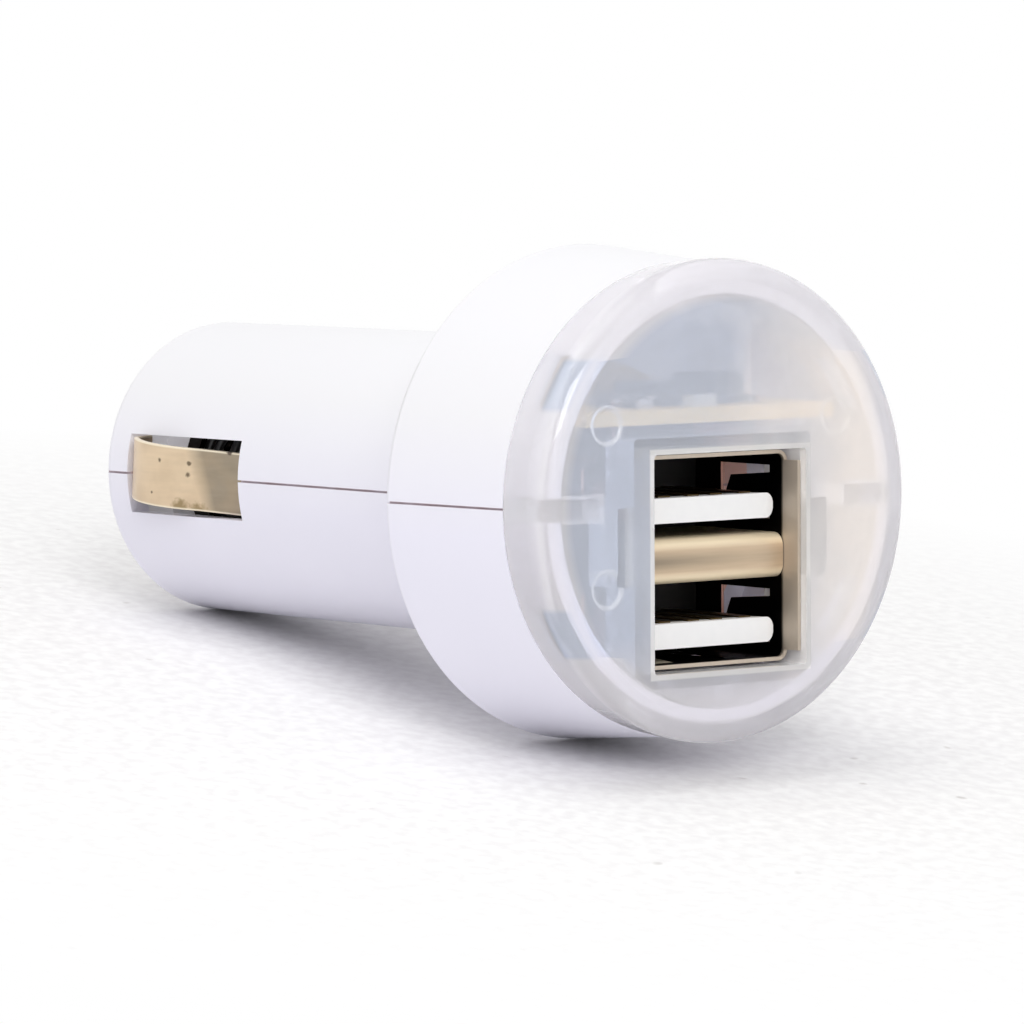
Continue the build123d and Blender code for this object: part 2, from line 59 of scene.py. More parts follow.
cool_white, warm_white, lit_top_white = (0.85, 0.84, 0.95), (0.88, 0.865, 0.97), (0.865, 0.86, 0.885)
lit_tail_white, shaded_head_white = (0.96, 0.95, 0.98), (0.64, 0.65, 0.71)
lit_far_white, reddish_lit_far_white = (1.0, 0.90, 0.82), (1.0, 0.66, 0.58)
guide_mouth_shade, split_dirt = (0.02, 0.017, 0.016), (0.52, 0.39, 0.42)


def new_finish(name, values):
    """Principled material, with what is the same all over set on the shader's own sockets."""
    finish = bpy.data.materials.new(name)
    finish.use_nodes = True
    shader = finish.node_tree.nodes["Principled BSDF"]
    for socket, value in values.items():
        shader.inputs[socket].default_value = value
    return finish, finish.node_tree, shader


def plug_place(tree):
    """Place on the object in the plug's own frame, in millimetres from its shoulder."""
    where = tree.nodes.new("ShaderNodeTexCoord")
    turn = tree.nodes.new("ShaderNodeMapping")
    back = Matrix.Rotation(lean, 3, "Y")
    turn.inputs["Location"].default_value = -(back @ rest_shift)
    turn.inputs["Rotation"].default_value = (0.0, lean, 0.0)
    turn.inputs["Scale"].default_value = (1000.0, 1000.0, 1000.0)
    tree.links.new(where.outputs["Object"], turn.inputs["Vector"])
    return turn.outputs["Vector"]


def axes(tree, place):
    """The three coordinates of a place."""
    split = tree.nodes.new("ShaderNodeSeparateXYZ")
    tree.links.new(place, split.inputs["Vector"])
    return split.outputs["X"], split.outputs["Y"], split.outputs["Z"]


def stretched(tree, place, factors):
    """Place with each direction scaled, so that a pattern runs along one of them."""
    scale = tree.nodes.new("ShaderNodeMapping")
    scale.inputs["Scale"].default_value = factors
    tree.links.new(place, scale.inputs["Vector"])
    return scale.outputs["Vector"]


def length_of(tree, vector):
    """Length of a vector."""
    measure = tree.nodes.new("ShaderNodeVectorMath")
    measure.operation = "LENGTH"
    tree.links.new(vector, measure.inputs[0])
    return measure.outputs["Value"]


def off_axis(tree, place):
    """Distance from the plug's own axis."""
    return length_of(tree, stretched(tree, place, (0.0, 1.0, 1.0)))


def mottle(tree, place, per_mm, detail=3.0):
    """Soft noise with a given number of grains to the millimetre."""
    noise = tree.nodes.new("ShaderNodeTexNoise")
    noise.inputs["Scale"].default_value = per_mm
    noise.inputs["Detail"].default_value = detail
    tree.links.new(place, noise.inputs["Vector"])
    return noise.outputs["Fac"]


def spread(tree, value, low, high, start=0.0, end=1.0):
    """Value between start and end taken to a range from low to high."""
    ranged = tree.nodes.new("ShaderNodeMapRange")
    limits = {"From Min": start, "From Max": end, "To Min": low, "To Max": high}
    for socket, limit in limits.items():
        ranged.inputs[socket].default_value = limit
    tree.links.new(value, ranged.inputs["Value"])
    return ranged.outputs["Result"]


def rising(tree, value, start, end):
    """Share that goes from none at the start to all at the end."""
    return spread(tree, value, 0.0, 1.0, start, end)


def falling(tree, value, start, end):
    """Share that goes from all at the start to none at the end."""
    return spread(tree, value, 1.0, 0.0, start, end)


def reckon(tree, operation, first, second=0.0):
    """Arithmetic on one or two values of a pattern."""
    sum_node = tree.nodes.new("ShaderNodeMath")
    sum_node.operation = operation
    for socket, value in zip(sum_node.inputs, (first, second)):
        if isinstance(value, bpy.types.NodeSocket):
            tree.links.new(value, socket)
        else:
            socket.default_value = value
    return sum_node.outputs["Value"]


def apart(tree, value, middle=0.0):
    """Distance of a value from a middle."""
    return reckon(tree, "ABSOLUTE", reckon(tree, "SUBTRACT", value, middle))


def below(tree, value, limit):
    """Share that is all under a limit and none over it."""
    return reckon(tree, "LESS_THAN", value, limit)


def above(tree, value, limit):
    """Share that is all over a limit and none under it."""
    return reckon(tree, "GREATER_THAN", value, limit)


def all_of(tree, first, *others):
    """Share that holds where every one of its shares does."""
    for other in others:
        first = reckon(tree, "MULTIPLY", first, other)
    return first


def two_tone(tree, share, first, second):
    """Colour from the first to the second as a share goes from 0 to 1."""
    mix = tree.nodes.new("ShaderNodeMix")
    mix.data_type = "RGBA"
    tree.links.new(share, mix.inputs["Factor"])
    for socket, colour in ((mix.inputs["A"], first), (mix.inputs["B"], second)):
        if isinstance(colour, bpy.types.NodeSocket):
            tree.links.new(colour, socket)
        else:
            socket.default_value = (*colour, 1.0)
    return mix.outputs["Result"]


def drive(tree, shader, patterns):
    """Sockets of the shader that follow a pattern."""
    for socket, pattern in patterns.items():
        tree.links.new(pattern, shader.inputs[socket])


def raised(tree, shader, height, depth_mm, strength=1.0):
    """Relief on the surface from a height pattern."""
    bump = tree.nodes.new("ShaderNodeBump")
    bump.inputs["Distance"].default_value = depth_mm / 1000.0
    bump.inputs["Strength"].default_value = strength
    tree.links.new(height, bump.inputs["Height"])
    tree.links.new(bump.outputs["Normal"], shader.inputs["Normal"])


def part_way(tree, share, first, second):
    """Surface that goes from the first shader to the second as a share goes from 0 to 1."""
    either = tree.nodes.new("ShaderNodeMixShader")
    tree.links.new(share, either.inputs["Fac"])
    tree.links.new(first, either.inputs[1])
    tree.links.new(second, either.inputs[2])
    tree.links.new(either.outputs["Shader"], tree.nodes["Material Output"].inputs["Surface"])


def lets_light_in(tree, shader, share):
    """Passes part of the lamps' light straight through a thin wall, as pale plastic does."""
    through = tree.nodes.new("ShaderNodeBsdfTransparent")
    ray = tree.nodes.new("ShaderNodeLightPath")
    passed = reckon(tree, "MULTIPLY", ray.outputs["Is Shadow Ray"], share)
    part_way(tree, passed, shader.outputs["BSDF"], through.outputs["BSDF"])


def dress(finish, *names):
    """CAD nodes given one finish."""
    for name in names:
        slots = nodes[name].data.materials
        slots.clear()
        slots.append(finish)


white_moulding, tree, shader = new_finish("white_moulding", {"IOR": 1.52})
place = plug_place(tree)
x, y, z = axes(tree, place)
from_axis = off_axis(tree, place)
# Painted shade: the lower sides are tinted lavender, and the top is painted whiter.
shaded_side_white = two_tone(tree, mottle(tree, place, 0.12), cool_white, warm_white)
skin = two_tone(tree, rising(tree, z, shade_foot, shade_head), shaded_side_white, lit_top_white)
in_head = rising(tree, x, wall - 0.2, wall - 0.1)
inner_radius = spread(tree, in_head, bore + skin_depth, ring_bore + skin_depth)
inner_wall = all_of(tree, below(tree, from_axis, inner_radius), above(tree, x, tail_inside - skin_depth))
# Painted light and shade: the inner wall is pale in the tail and grey in the head.
inner_light_and_shade = two_tone(tree, rising(tree, x, tail_light_end, head_shade_start), lit_tail_white, shaded_head_white)
skin = two_tone(tree, inner_wall, skin, inner_light_and_shade)
# Painted warm light: the inner wall on the head's far side is cream, and reddish further back.
lit_far_wall = all_of(tree, inner_wall, in_head, rising(tree, y, far_start, far_end))
skin = two_tone(tree, lit_far_wall, skin, lit_far_white)
lit_far_deep = all_of(tree, lit_far_wall, falling(tree, x, deep_end, shallow_start))
skin = two_tone(tree, lit_far_deep, skin, reddish_lit_far_white)
# Painted shade: the mouth of the tip's guide is black.
dark_guide_mouth = all_of(tree, below(tree, from_axis, guide_radius + skin_depth),
                above(tree, x, guide_mouth - skin_depth),
                below(tree, x, guide_mouth + shaded_length))
skin = two_tone(tree, dark_guide_mouth, skin, guide_mouth_shade)
in_groove = falling(tree, apart(tree, z), groove_half, groove_edge)
grime = all_of(tree, in_groove, spread(tree, mottle(tree, place, 0.5), 0.5, 1.0, 0.3, 0.7))
skin = two_tone(tree, grime, skin, split_dirt)
drive(tree, shader, {"Base Color": skin, "Roughness": spread(tree, mottle(tree, place, 0.7), 0.30, 0.40)})
raised(tree, shader, mottle(tree, place, 1.3), 0.001, 0.3)
lets_light_in(tree, shader, spread(tree, z, 0.0, most_passed, -split_fade, split_fade))
dress(white_moulding, "upper_housing", "lower_housing")

# Leaf springs: nickel-plated strip that bows out through a slot in each side of the barrel.
# Rolling leaves fine lines along the strip, tumbling has rolled its sheared edges over, and
# handling has left specks and a brown stain.  A painted highlight runs along its long edges, and past
# the bend it is painted darker as shade.
leaf_middle, leaf_skew, leaf_half = -31.4, math.radians(4.5), 2.2
tumbled_edge, flat_angle, sharp_angle = 0.09, math.radians(0.5), math.radians(40.0)
highlight_start, highlight_full = 0.16, 0.08
bend_slope, bend_start, bend_end = 0.22, -30.0, -28.9
lit_plating = (0.68, 0.535, 0.375), (0.77, 0.61, 0.43)
shaded_plating = (0.31, 0.26, 0.195), (0.37, 0.31, 0.235)
tarnish, leaf_edge_highlight = (0.50, 0.37, 0.24), (0.95, 0.86, 0.68)
dark_specks = ((-32.5, 1.2, 0.19), (-30.2, 1.0, 0.19), (-30.3, 0.2, 0.21), (-33.4, -1.1, 0.13))
brown_stains = ((-29.7, -2.35, 0.75), (-31.0, -2.1, 0.7))
nicks = ((-27.3, 1.85, 0.22),)
speck_tone, stain_tone, nick_tone = (0.12, 0.09, 0.06), (0.30, 0.22, 0.11), (0.05, 0.03, 0.03)


def marks(tree, place, spots, colour, under):
    """Small round marks at given x, z and radius, worn into the finish under them."""
    unevenness, solid_core, strength = 0.7, 0.4, 0.85
    for mark_x, mark_z, radius in spots:
        shift = tree.nodes.new("ShaderNodeMapping")
        shift.inputs["Location"].default_value = (-mark_x, 0.0, -mark_z)
        shift.inputs["Scale"].default_value = (1.0, 0.0, 1.0)
        tree.links.new(place, shift.inputs["Vector"])
        uneven = spread(tree, mottle(tree, place, 3.0), -unevenness * radius, unevenness * radius)
        ragged = reckon(tree, "ADD", length_of(tree, shift.outputs["Vector"]), uneven)
        here = spread(tree, ragged, strength, 0.0, solid_core * radius, radius)
        under = two_tone(tree, here, under, colour)
    return under


def copied(node):
    """Working copy of a CAD node's mesh, merged into one skin."""
    work = bmesh.new()
    work.from_mesh(nodes[node].data)
    bmesh.ops.remove_doubles(work, verts=work.verts, dist=1e-6)
    return work


def stands_for(node, name, work, finish, body):
    """Finished piece from a working copy, in the place of the CAD node that it was copied from."""
    mesh = bpy.data.meshes.new(name)
    work.to_mesh(mesh)
    work.free()
    own_normals = mesh.attributes.get("custom_normal")
    if own_normals:
        mesh.attributes.remove(own_normals)
    mesh.shade_smooth()
    mesh.set_sharp_from_angle(angle=math.radians(35.0))
    mesh.materials.clear()
    mesh.materials.append(finish)
    piece = bpy.data.objects.new(name, mesh)
    bpy.context.collection.objects.link(piece)
    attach(piece, body)
    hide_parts(node)


leaf_metal, tree, shader = new_finish("leaf_metal", {"Metallic": 1.0})
place = plug_place(tree)
x, _, z = axes(tree, place)
rolled = mottle(tree, stretched(tree, place, (0.12, 1.0, 2.2)), 1.0, 4.0)
lines = rising(tree, rolled, 0.25, 0.75)
from_bend = reckon(tree, "ADD", x, reckon(tree, "MULTIPLY", z, bend_slope))
# Painted shade: past the bend the plating is darker.
turned = two_tone(tree, lines, *shaded_plating)
plating = two_tone(tree, rising(tree, from_bend, bend_start, bend_end),
                   two_tone(tree, lines, *lit_plating), turned)
tarnished = spread(tree, mottle(tree, place, 0.45), 0.0, 0.35, 0.45, 0.75)
plating = two_tone(tree, tarnished, plating, tarnish)
plating = marks(tree, place, dark_specks, speck_tone, plating)
plating = marks(tree, place, brown_stains, stain_tone, plating)
# Painted highlight along the strip's long edges.
drop = reckon(tree, "MULTIPLY", reckon(tree, "SUBTRACT", x, leaf_middle), math.tan(leaf_skew))
off_line = apart(tree, reckon(tree, "ADD", z, drop))
leaf_edge_lit = spread(tree, off_line, 0.0, 0.85, leaf_half - highlight_start, leaf_half - highlight_full)
plating = two_tone(tree, leaf_edge_lit, plating, leaf_edge_highlight)
plating = marks(tree, place, nicks, nick_tone, plating)
drive(tree, shader, {"Base Color": plating, "Roughness": spread(tree, rolled, 0.30, 0.42)})
raised(tree, shader, rolled, 0.004, 0.3)
for side in ("left", "right"):
    work = copied(f"{side}_ground_spring")
    bmesh.ops.dissolve_limit(work, angle_limit=flat_angle, verts=work.verts, edges=work.edges)
    sharp = [edge for edge in work.edges
             if len(edge.link_faces) == 2 and edge.calc_face_angle() > sharp_angle]
    bmesh.ops.bevel(work, geom=sharp, offset=tumbled_edge / 1000.0, segments=2, profile=0.5,
                    affect="EDGES", clamp_overlap=True)
    stands_for(f"{side}_ground_spring", f"{side}_leaf_strip", work, leaf_metal,
               f"{side}_spring")

# Ground terminals and tip terminal: stamped brass strip, tinned by dipping, pushed between ribs.
# The dipped tin is duller and patchy where it ran.
bare_brass, dipped_tin = (0.66, 0.55, 0.30), (0.60, 0.58, 0.52)
terminal_metal, tree, shader = new_finish("terminal_metal", {"Metallic": 1.0})
place = plug_place(tree)
patches = mottle(tree, place, 0.6)
drive(tree, shader, {"Base Color": two_tone(tree, rising(tree, patches, 0.4, 0.6), bare_brass, dipped_tin),
                     "Roughness": spread(tree, patches, 0.25, 0.5)})
raised(tree, shader, mottle(tree, place, 3.0), 0.01, 0.3)
dress(terminal_metal, "left_ground_terminal", "right_ground_terminal", "pin_terminal")

# Tip contact: turned brass with bright nickel plating, free to slide through the tail.
# The lathe's fine rings still show under the plating, and what stays inside the tail is painted dark as
# shade.
nickel_rings = (0.66, 0.63, 0.57), (0.78, 0.75, 0.70)
tip_inside_shade = (0.07, 0.06, 0.05)
tip_metal, tree, shader = new_finish("tip_metal", {"Metallic": 1.0})
place = plug_place(tree)
x = axes(tree, place)[0]
rings = mottle(tree, stretched(tree, place, (9.0, 0.02, 0.02)), 1.0, 2.0)
# Painted shade: the tip is dark where it stays inside the tail.
tip_shaded_inside = rising(tree, x, tail_inside - 0.1, tail_inside + 0.2)
drive(tree, shader, {"Base Color": two_tone(tree, tip_shaded_inside, two_tone(tree, rings, *nickel_rings), tip_inside_shade),
                     "Roughness": spread(tree, mottle(tree, place, 0.8), 0.12, 0.26)})
raised(tree, shader, rings, 0.006, 0.4)
dress(tip_metal, "centre_pin")

# Tip spring: hard-drawn steel wire coiled to six turns, between the tip's flange and its terminal.
# The turn at each end is closed.
spring_back, spring_front, spring_radius, wire_radius, open_turns = -38.2, -28.1, 3.75, 0.35, 4
tip_travel, turn_steps, wire_sides = 3.5, 48, 12
# The wire's colour is painted dark as shade inside the tail.
shaded_steel = (0.05, 0.05, 0.052), (0.10, 0.10, 0.10)


def new_tree(name, sizes):
    """Geometry Nodes tree with named inputs for its sizes, given as name and value pairs."""
    made = bpy.data.node_groups.new(name, "GeometryNodeTree")
    made.interface.new_socket("Geometry", in_out="INPUT", socket_type="NodeSocketGeometry")
    for label, value in sizes.items():
        kind = "NodeSocketInt" if isinstance(value, int) else "NodeSocketFloat"
        made.interface.new_socket(label, in_out="INPUT", socket_type=kind).default_value = value
    made.interface.new_socket("Geometry", in_out="OUTPUT", socket_type="NodeSocketGeometry")
    return made, made.nodes.new("NodeGroupInput"), made.nodes.new("NodeGroupOutput")


def round_section(made, radius, sides):
    """Round outline of a wire, with a radius taken from one of the tree's inputs."""
    outline = made.nodes.new("GeometryNodeCurvePrimitiveCircle")
    outline.inputs["Resolution"].default_value = sides
    made.links.new(radius, outline.inputs["Radius"])
    return outline.outputs["Curve"]


def wire_turns(made, section, steps, radius_mm, rotations, height):
    """Helix of wire with a given section: steps to a turn, radius, number of turns and height."""
    spiral = made.nodes.new("GeometryNodeCurveSpiral")
    spiral.inputs["Resolution"].default_value = steps
    spiral.inputs["Start Radius"].default_value = radius_mm / 1000.0
    spiral.inputs["End Radius"].default_value = radius_mm / 1000.0
    spiral.inputs["Height"].default_value = height
    if isinstance(rotations, bpy.types.NodeSocket):
        made.links.new(rotations, spiral.inputs["Rotations"])
    else:
        spiral.inputs["Rotations"].default_value = rotations
    tube = made.nodes.new("GeometryNodeCurveToMesh")
    tube.inputs["Fill Caps"].default_value = True
    made.links.new(spiral.outputs["Curve"], tube.inputs["Curve"])
    made.links.new(section, tube.inputs["Profile Curve"])
    return tube.outputs["Mesh"]


def moved(made, geometry, shift=(0.0, 0.0, 0.0), turn=(0.0, 0.0, 0.0)):
    """Geometry moved and turned inside the tree."""
    mover = made.nodes.new("GeometryNodeTransform")
    mover.inputs["Translation"].default_value = shift
    mover.inputs["Rotation"].default_value = turn
    made.links.new(geometry, mover.inputs["Geometry"])
    return mover.outputs["Geometry"]


def joined(made, pieces):
    """Several pieces of geometry as one."""
    join = made.nodes.new("GeometryNodeJoinGeometry")
    for geometry in pieces:
        made.links.new(geometry, join.inputs["Geometry"])
    return join.outputs["Geometry"]


def end_tree(made, output, pieces, finish):
    """Joins what the tree has made, makes it real and gives it its finish."""
    smooth = made.nodes.new("GeometryNodeSetShadeSmooth")
    real = made.nodes.new("GeometryNodeRealizeInstances")
    paint = made.nodes.new("GeometryNodeSetMaterial")
    paint.inputs["Material"].default_value = finish
    made.links.new(joined(made, pieces), smooth.inputs["Geometry"])
    made.links.new(smooth.outputs["Geometry"], real.inputs["Geometry"])
    made.links.new(real.outputs["Geometry"], paint.inputs["Geometry"])
    made.links.new(paint.outputs["Geometry"], output.inputs["Geometry"])


def grown(name, made, points=()):
    """Plain mesh object from a tree, with an optional list of points to start from."""
    start = bpy.data.meshes.new(name)
    start.from_pydata(points, [], [])
    piece = bpy.data.objects.new(name, start)
    bpy.context.collection.objects.link(piece)
    maker = piece.modifiers.new("maker", "NODES")
    maker.node_group = made
    bpy.context.view_layer.update()
    result = bpy.data.meshes.new_from_object(piece.evaluated_get(bpy.context.evaluated_depsgraph_get()))
    piece.modifiers.clear()
    piece.data = result
    result.name = name
    return piece


def in_row(x, y, z):
    """Plug point in millimetres as a point of the shared frame in metres."""
    return (Matrix.Rotation(-lean, 3, "Y") @ Vector((x, y, z)) + rest_shift) / 1000.0


spring_wire, tree, shader = new_finish("spring_wire", {"Metallic": 1.0})
drawn = mottle(tree, plug_place(tree), 2.5)
drive(tree, shader, {"Base Color": two_tone(tree, drawn, *shaded_steel),
                     "Roughness": spread(tree, drawn, 0.25, 0.4)})
spring_sizes = {"Wire Radius": wire_radius / 1000.0, "Open Turns": open_turns}
made, sizes, output = new_tree("tip_spring_turns", spring_sizes)
section = round_section(made, sizes.outputs["Wire Radius"], wire_sides)
closed = 2.0 * wire_radius / 1000.0
free = (spring_front - spring_back) / 1000.0 - closed
first = wire_turns(made, section, turn_steps, spring_radius, 1.0, closed)
middle = wire_turns(made, section, turn_steps, spring_radius, sizes.outputs["Open Turns"],
                    free - 2.0 * closed)
last = wire_turns(made, section, turn_steps, spring_radius, 1.0, closed)
stacked = joined(made, (first, moved(made, middle, (0.0, 0.0, closed)),
                        moved(made, last, (0.0, 0.0, free - closed))))
laid = moved(made, stacked, in_row(spring_back + wire_radius, 0.0, 0.0), (0.0, math.pi / 2 - lean, 0.0))
end_tree(made, output, [laid], spring_wire)
tip_spring = grown("tip_spring", made)
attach(tip_spring, "plug")
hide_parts("pin_spring")
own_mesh(tip_spring)

# Circuit board: yellow paper laminate, sawn at its edges, drilled for what passes through it.
# The sawn edge shows the laminate's layers as fine lines.
laminate_layers = (0.98, 0.64, 0.20), (1.0, 0.76, 0.34)
board_laminate, tree, shader = new_finish("board_laminate", {"IOR": 1.5})
place = plug_place(tree)
layers = mottle(tree, stretched(tree, place, (0.3, 0.3, 6.0)), 1.0, 3.0)
drive(tree, shader, {"Base Color": two_tone(tree, rising(tree, layers, 0.3, 0.7), *laminate_layers),
                     "Roughness": spread(tree, mottle(tree, place, 1.5), 0.45, 0.65)})
raised(tree, shader, layers, 0.02, 0.3)
dress(board_laminate, "circuit_board")

# Solder joints: a small cone of tin around each pin that comes up through the board, as a wave
# of solder leaves it.  The tin sets with a slightly frosted skin.
board_top, joint_sides = 6.2, 20
pin_rows = [(x, y) for x in (3.07, 4.27) for y in (-3.5, -1.0, 1.0, 3.5)]
lock_pins = [(x, y) for x in (3.35, 9.85) for y in (-6.32, 6.32)]
lead_pins = [(x, side * y) for x, y in ((-23.2, 5.33), (-1.6, 1.75)) for side in (-1, 1)]
joint_sizes = {"Foot Radius": 0.00055, "Neck Radius": 0.0002, "Joint Height": 0.00042}
frosted_tin = (0.55, 0.55, 0.54), (0.72, 0.71, 0.69)
solder_tin, tree, shader = new_finish("solder_tin", {"Metallic": 1.0})
frosted = mottle(tree, plug_place(tree), 2.2)
drive(tree, shader, {"Base Color": two_tone(tree, frosted, *frosted_tin),
                     "Roughness": spread(tree, frosted, 0.20, 0.38)})
made, sizes, output = new_tree("solder_cones", joint_sizes)
cone = made.nodes.new("GeometryNodeMeshCone")
cone.inputs["Vertices"].default_value = joint_sides
cone_sockets = {"Foot Radius": "Radius Bottom", "Neck Radius": "Radius Top", "Joint Height": "Depth"}
for label, socket in cone_sockets.items():
    made.links.new(sizes.outputs[label], cone.inputs[socket])
spots = made.nodes.new("GeometryNodeMeshToPoints")
made.links.new(sizes.outputs["Geometry"], spots.inputs["Mesh"])
joints = made.nodes.new("GeometryNodeInstanceOnPoints")
joints.inputs["Rotation"].default_value = (0.0, -lean, 0.0)
made.links.new(spots.outputs["Points"], joints.inputs["Points"])
made.links.new(cone.outputs["Mesh"], joints.inputs["Instance"])
end_tree(made, output, [joints.outputs["Instances"]], solder_tin)
feet = [in_row(x, y, board_top) for x, y in pin_rows + lock_pins + lead_pins]
solder_joints = grown("solder_joints", made, feet)
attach(solder_joints, "plug")

# Chip, diode and resistors: bodies of dark epoxy with a fine matte skin, soldered on the board's top.
# The chip's leads and the resistors' ends are bare tin.
bright_tin = (0.70, 0.69, 0.67)
chip_side, lead_end = 1.96, 2.94
first_resistor, resistor_pitch, resistor_half, resistor_row = 5.4, 2.6, 0.65, -3.5
dark_epoxy = (0.09, 0.09, 0.092), (0.13, 0.128, 0.125)


def tin_ends(tree, x, first_x, pitch, half_body):
    """Share of a row of small parts that is their tinned ends."""
    from_middle = reckon(tree, "PINGPONG", reckon(tree, "SUBTRACT", x, first_x), pitch / 2)
    return above(tree, from_middle, half_body)


def most_of(tree, first, *others):
    """Largest of several shares."""
    for other in others:
        first = reckon(tree, "MAXIMUM", first, other)
    return first


black_epoxy, tree, shader = new_finish("black_epoxy", {"IOR": 1.55})
place = plug_place(tree)
x, y, _ = axes(tree, place)
fine = mottle(tree, place, 6.0)
off_middle = apart(tree, y)
chip_leads = all_of(tree, above(tree, off_middle, chip_side), below(tree, off_middle, lead_end))
resistor_ends = all_of(tree, tin_ends(tree, x, first_resistor, resistor_pitch, resistor_half),
                       below(tree, y, resistor_row))
bare_tin = most_of(tree, chip_leads, resistor_ends)
drive(tree, shader, {"Base Color": two_tone(tree, bare_tin, two_tone(tree, fine, *dark_epoxy), bright_tin),
                     "Metallic": bare_tin, "Roughness": spread(tree, fine, 0.45, 0.65)})
raised(tree, shader, fine, 0.01, 0.4)
dress(black_epoxy, "converter_chip", "schottky_diode", "chip_resistors")

# Ceramic capacitors: fired blocks with a faint cloud in the clay and dipped tin ends.
# They are soldered in a row along the middle of the board's top.
first_block, block_pitch, block_half = -17.7, 5.2, 1.15
fired_clay = (0.42, 0.30, 0.19), (0.55, 0.42, 0.29)
fired_ceramic, tree, shader = new_finish("fired_ceramic", {"IOR": 1.6})
place = plug_place(tree)
x = axes(tree, place)[0]
cloud = mottle(tree, place, 1.2)
bare_tin = tin_ends(tree, x, first_block, block_pitch, block_half)
drive(tree, shader, {"Base Color": two_tone(tree, bare_tin, two_tone(tree, cloud, *fired_clay), bright_tin),
                     "Metallic": bare_tin, "Roughness": spread(tree, cloud, 0.35, 0.5)})
dress(fired_ceramic, "ceramic_capacitors")

# Indicator: a small light in slightly yellow clear resin, cast around its chip and soldered at the
# board's front edge, where it shines through the cap.
yellow_resin = (0.90, 0.86, 0.70), (0.95, 0.93, 0.84)
led_resin, tree, shader = new_finish("led_resin", {"IOR": 1.5, "Transmission Weight": 0.35})
cloud = mottle(tree, plug_place(tree), 1.5)
drive(tree, shader, {"Base Color": two_tone(tree, cloud, *yellow_resin),
                     "Roughness": spread(tree, cloud, 0.15, 0.3)})
dress(led_resin, "indicator_led")

# Inductor: a sintered ferrite drum, wound with four layers of enamelled copper wire.
# The drum's flange is soldered flat under the board.
drum_x, winding_foot, winding_height, wire_reach = -17.7, -1.2, 5.2, 0.2
layer_radii, layer_turn, layer_steps, layer_sides = (2.2, 2.6, 3.0, 3.4), 2.1, 24, 6
winding_sizes = {"Wire Radius": wire_reach / 1000.0, "Turns": 13}
grey_ferrite = (0.055, 0.055, 0.060), (0.10, 0.10, 0.105)
copper_enamel = (0.45, 0.18, 0.07), (0.66, 0.31, 0.13)
ferrite, tree, shader = new_finish("ferrite", {"IOR": 2.0})
sinter = mottle(tree, plug_place(tree), 4.0, 5.0)
drive(tree, shader, {"Base Color": two_tone(tree, sinter, *grey_ferrite),
                     "Roughness": spread(tree, sinter, 0.4, 0.6)})
raised(tree, shader, sinter, 0.02, 0.5)
dress(ferrite, "inductor_core")
enamelled_wire, tree, shader = new_finish("enamelled_wire", {"Metallic": 0.9})
turns = mottle(tree, stretched(tree, plug_place(tree), (0.4, 0.4, 4.0)), 1.0)
drive(tree, shader, {"Base Color": two_tone(tree, turns, *copper_enamel),
                     "Roughness": spread(tree, turns, 0.2, 0.35)})
made, sizes, output = new_tree("winding_layers", winding_sizes)
section = round_section(made, sizes.outputs["Wire Radius"], layer_sides)
foot = in_row(drum_x, 0.0, winding_foot + wire_reach)
wound_height = (winding_height - 2.0 * wire_reach) / 1000.0
layers = []
for layer, radius in enumerate(layer_radii):
    laid = wire_turns(made, section, layer_steps, radius, sizes.outputs["Turns"], wound_height)
    layers.append(moved(made, laid, foot, (0.0, -lean, layer * layer_turn)))
end_tree(made, output, layers, enamelled_wire)
drum_winding = grown("drum_winding", made)
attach(drum_winding, "plug")
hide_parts("inductor_coil")

# Input capacitor: an aluminium can in a dark shrink sleeve that leaves its front end bare.
# It lies under the board and hangs on its two leads.
can_front, sleeve_lap = -2.2, 0.02
blue_sleeve = (0.020, 0.024, 0.07), (0.035, 0.04, 0.10)
can_sleeve, tree, shader = new_finish("can_sleeve", {"IOR": 1.5})
place = plug_place(tree)
x = axes(tree, place)[0]
sheen = mottle(tree, place, 0.8)
bare_end = above(tree, x, can_front - sleeve_lap)
drive(tree, shader, {"Base Color": two_tone(tree, bare_end, two_tone(tree, sheen, *blue_sleeve), bright_tin),
                     "Metallic": bare_end, "Roughness": spread(tree, sheen, 0.25, 0.4)})
dress(can_sleeve, "input_capacitor")

# Receptacle shell: a tube stamped and folded from tinned steel, with flared lips and spring fingers
# cut free on three sides.  The fingers' ends are bent in, and the slits beside them taper.
# It is painted unlit inside, one floor finger is painted lit, and the cut edges of its slits are painted
# reddish as warm light.
mouth, mouth_fade, side_wall, shell_sheet, hair, finger_fade = 13.9, 0.25, 6.2, 0.25, 0.01, 0.1
finger_end, finger_half, finger_middles = 8.0, 1.3, (0.27, -8.03)
finger_bend, upper_reach, upper_drop, lower_reach = 0.15, 0.7, 0.3, 0.35
floor_finger_y, floor_finger_half, floor_finger_back, floor_finger_front = -3.2, 0.8, 7.3, 12.6
tinned_steel = (0.58, 0.51, 0.43), (0.70, 0.62, 0.53)
unlit, warm_lit_cut_edge, lit_finger = (0.012, 0.011, 0.012), (0.62, 0.36, 0.30), (0.95, 0.85, 0.66)


def in_plug(point):
    """Point of the shared frame in metres as a plug point in millimetres."""
    return Matrix.Rotation(lean, 3, "Y") @ (point * 1000.0 - rest_shift)


shell_metal, tree, shader = new_finish("shell_metal", {"IOR": 1.5})
place = plug_place(tree)
x, y, _ = axes(tree, place)
brushed = mottle(tree, stretched(tree, place, (0.5, 6.0, 0.5)), 1.0, 3.0)
inside = falling(tree, x, mouth - mouth_fade, mouth)
sheet = two_tone(tree, inside, two_tone(tree, brushed, *tinned_steel), unlit)
